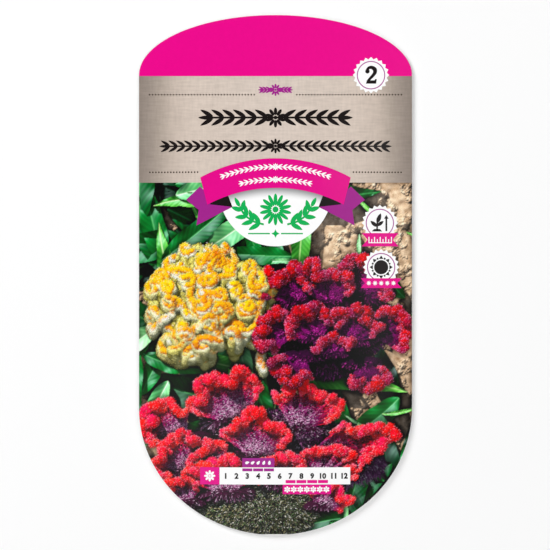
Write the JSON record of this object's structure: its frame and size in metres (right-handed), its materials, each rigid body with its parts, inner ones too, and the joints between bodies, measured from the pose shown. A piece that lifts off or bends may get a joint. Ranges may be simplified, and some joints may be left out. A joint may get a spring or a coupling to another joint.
{
  "type": "seed packet",
  "caption": "Flat sealed seed packet with an arched head and round foot, a swollen pocket holding a sachet of seeds, and printed flower picture, label band, ribbon and badges",
  "frame": {"origin": "under the middle of the packet, on the surface that it lies on", "axes": "the packet lies on its back: +Z is out of its printed front, +Y is towards its arched head, +X is to the right of the print"},
  "size_m": [0.084, 0.16, 0.0038],
  "materials": {
    "white_sheet": "satin laminated paper",
    "ink_black": "satin print",
    "ink_white": "satin print",
    "ink_pink": "satin print",
    "ink_purple": "satin print",
    "ink_coral": "satin print",
    "ink_coral_dark": "satin print",
    "ink_crimson": "satin print",
    "ink_crimson_dark": "satin print",
    "ink_green": "satin print",
    "ink_kraft": "satin print of a woven kraft ground",
    "ink_leaf": "satin print",
    "ink_shade": "satin print",
    "ink_soil": "satin print",
    "ink_yellow": "satin print",
    "ink_yellow_pale": "satin print",
    "sachet_foil": "satin foil laminate",
    "seal_film": "clear sealing film",
    "seed": "glossy black seed coat"
  },
  "bodies": {
    "root": {"back_sheet": "white_sheet", "front_sheet": "white_sheet", "ink_arrow": "ink_black", "ink_badge_height": "ink_white", "ink_badge_height_ribbon": "ink_pink", "ink_badge_height_ring": "ink_purple", "ink_badge_number": "ink_white", "ink_badge_number_ring": "ink_purple", "ink_badge_sun": "ink_white", "ink_badge_sun_ribbon": "ink_pink", "ink_badge_sun_ring": "ink_purple", "ink_calendar_end": "ink_pink", "ink_calendar_strip": "ink_white", "ink_coral_crest": "ink_coral", "ink_coral_flank": "ink_coral_dark", "ink_crimson_crest": "ink_crimson", "ink_crimson_flank": "ink_crimson_dark", "ink_daisy": "ink_green", "ink_flowering_bar": "ink_pink", "ink_flowering_tag": "ink_pink", "ink_fold_left": "ink_black", "ink_fold_right": "ink_black", "ink_header": "ink_pink", "ink_label_band": "ink_kraft", "ink_leaves_foot_left": "ink_leaf", "ink_leaves_foot_right": "ink_leaf", "ink_leaves_left": "ink_leaf", "ink_leaves_middle": "ink_leaf", "ink_medallion": "ink_white", "ink_medallion_rule": "ink_green", "ink_numeral": "ink_black", "ink_picture_ground": "ink_shade", "ink_ribbon": "ink_pink", "ink_ribbon_garland_lower": "ink_white", "ink_ribbon_garland_upper": "ink_white", "ink_rule_lower_left": "ink_black", "ink_rule_lower_right": "ink_black", "ink_rule_upper_left": "ink_black", "ink_rule_upper_right": "ink_black", "ink_soil": "ink_soil", "ink_sowing_bar": "ink_purple", "ink_sowing_tag": "ink_purple", "ink_sprout": "ink_black", "ink_subtitle_garland": "ink_black", "ink_sun": "ink_black", "ink_tail_left": "ink_purple", "ink_tail_right": "ink_purple", "ink_title_garland": "ink_black", "ink_topper_garland": "ink_purple", "ink_yellow_crest": "ink_yellow", "ink_yellow_flank": "ink_yellow_pale", "sachet_back": "sachet_foil", "sachet_front": "sachet_foil", "seal_film": "seal_film", "seeds": "seed"}
  },
  "joints": []
}
